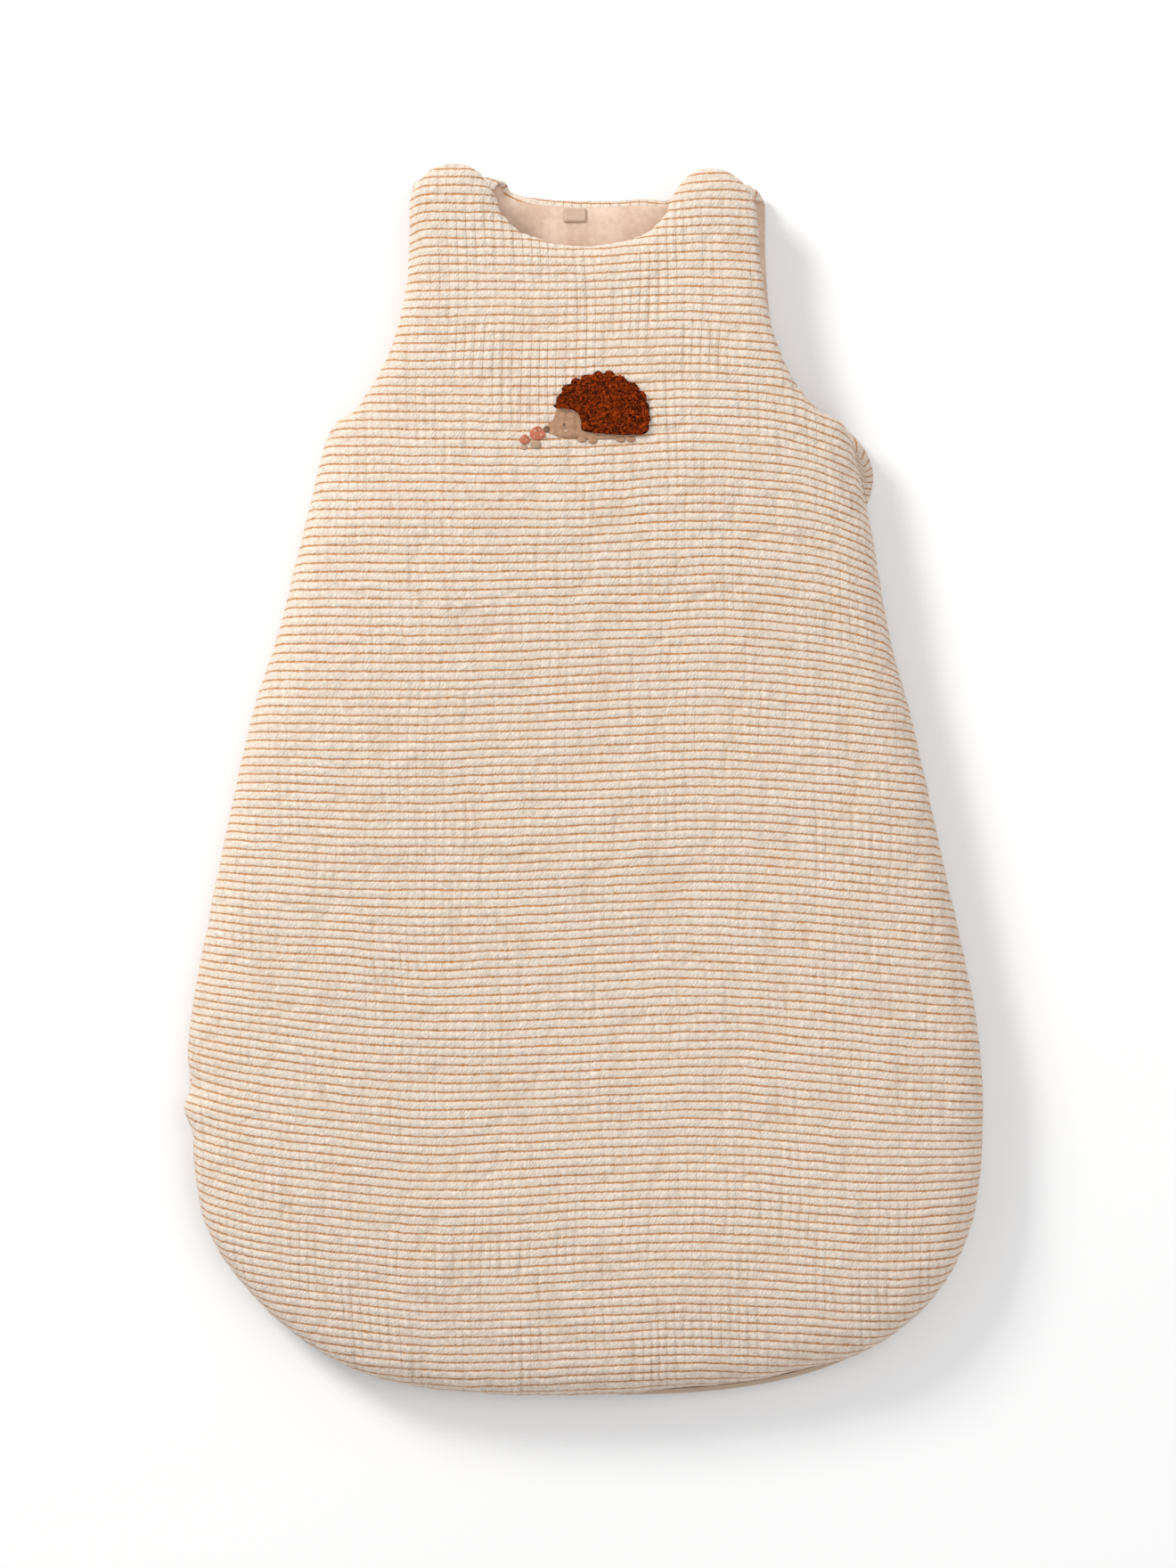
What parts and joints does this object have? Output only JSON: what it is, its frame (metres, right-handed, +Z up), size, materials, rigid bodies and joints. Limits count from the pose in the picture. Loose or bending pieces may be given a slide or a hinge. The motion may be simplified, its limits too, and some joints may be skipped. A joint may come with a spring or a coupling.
{
  "type": "baby sleeping bag",
  "caption": "Sleeveless quilted baby sleeping bag with a side zip, snap shoulder tabs and a front that opens like a book.",
  "frame": {"origin": "under the middle of the bag's box, on the surface it lies on", "axes": "+Y towards the head end, +X towards the zipped side, +Z up out of the front"},
  "size_m": [0.4527, 0.7, 0.0435],
  "materials": {
    "striped_gauze": "crinkled cotton gauze, matt",
    "lining_jersey": "plain jersey, matt",
    "wadding": "polyester fill, matt",
    "zip_tape": "woven tape",
    "zip_coil": "satin nylon",
    "zip_metal": "satin",
    "snap_plastic": "satin resin",
    "woven_label": "woven satin, blank",
    "boucle": "looped boucle"
  },
  "bodies": {
    "root": {"back_outer_fabric": "striped_gauze", "back_wadding": "wadding", "back_lining": "lining_jersey", "neck_label": "woven_label", "care_label": "woven_label", "back_seam_allowance": "striped_gauze", "zip_tape_back": "zip_tape", "zip_coil_back": "zip_coil", "zip_top_stop_back": "zip_metal", "zip_bottom_stop": "zip_metal", "zip_guard": "striped_gauze", "zip_garage": "striped_gauze", "back_tab_outer_left": "striped_gauze", "back_tab_wadding_left": "wadding", "back_tab_lining_left": "lining_jersey", "back_tab_outer_right": "striped_gauze", "back_tab_wadding_right": "wadding", "back_tab_lining_right": "lining_jersey", "snap_stud_left": "snap_plastic", "snap_stud_right": "snap_plastic"},
    "front": {"front_outer_fabric": "striped_gauze", "front_wadding": "wadding", "front_lining": "lining_jersey", "front_seam_allowance": "striped_gauze", "zip_tape_front": "zip_tape", "zip_coil_front": "zip_coil", "zip_top_stop_front": "zip_metal", "hedgehog_patch": "boucle"},
    "front_tab_left": {"front_tab_outer_left": "striped_gauze", "front_tab_wadding_left": "wadding", "front_tab_lining_left": "lining_jersey", "snap_socket_left": "snap_plastic"},
    "front_tab_right": {"front_tab_outer_right": "striped_gauze", "front_tab_wadding_right": "wadding", "front_tab_lining_right": "lining_jersey", "snap_socket_right": "snap_plastic"},
    "zip_slider": {"slider_body": "zip_metal", "slider_bail": "zip_metal"},
    "zip_puller": {"puller": "zip_metal"}
  },
  "joints": [
    {"name": "front_open", "type": "hinge", "parent": "root", "child": "front", "pos_m": [-0.156, 0.20616, 0.01175], "axis": [-0.2027, -0.9792, 0], "range_deg": [0, 150]},
    {"name": "tab_fold_left", "type": "hinge", "parent": "front", "child": "front_tab_left", "pos_m": [-0.07425, 0.316, 0.0317], "axis": [1, 0, 0], "range_deg": [0, 150]},
    {"name": "tab_fold_right", "type": "hinge", "parent": "front", "child": "front_tab_right", "pos_m": [0.07425, 0.316, 0.0317], "axis": [1, 0, 0], "range_deg": [0, 150]},
    {"name": "zip_slide", "type": "slide", "parent": "root", "child": "zip_slider", "axis": [0.2113, -0.9774, 0], "range_m": [0, 0.25]},
    {"name": "puller_swing", "type": "hinge", "parent": "zip_slider", "child": "zip_puller", "pos_m": [0.16013, 0.142, 0.01175], "axis": [0, 0, 1], "range_deg": [0, 170]}
  ]
}
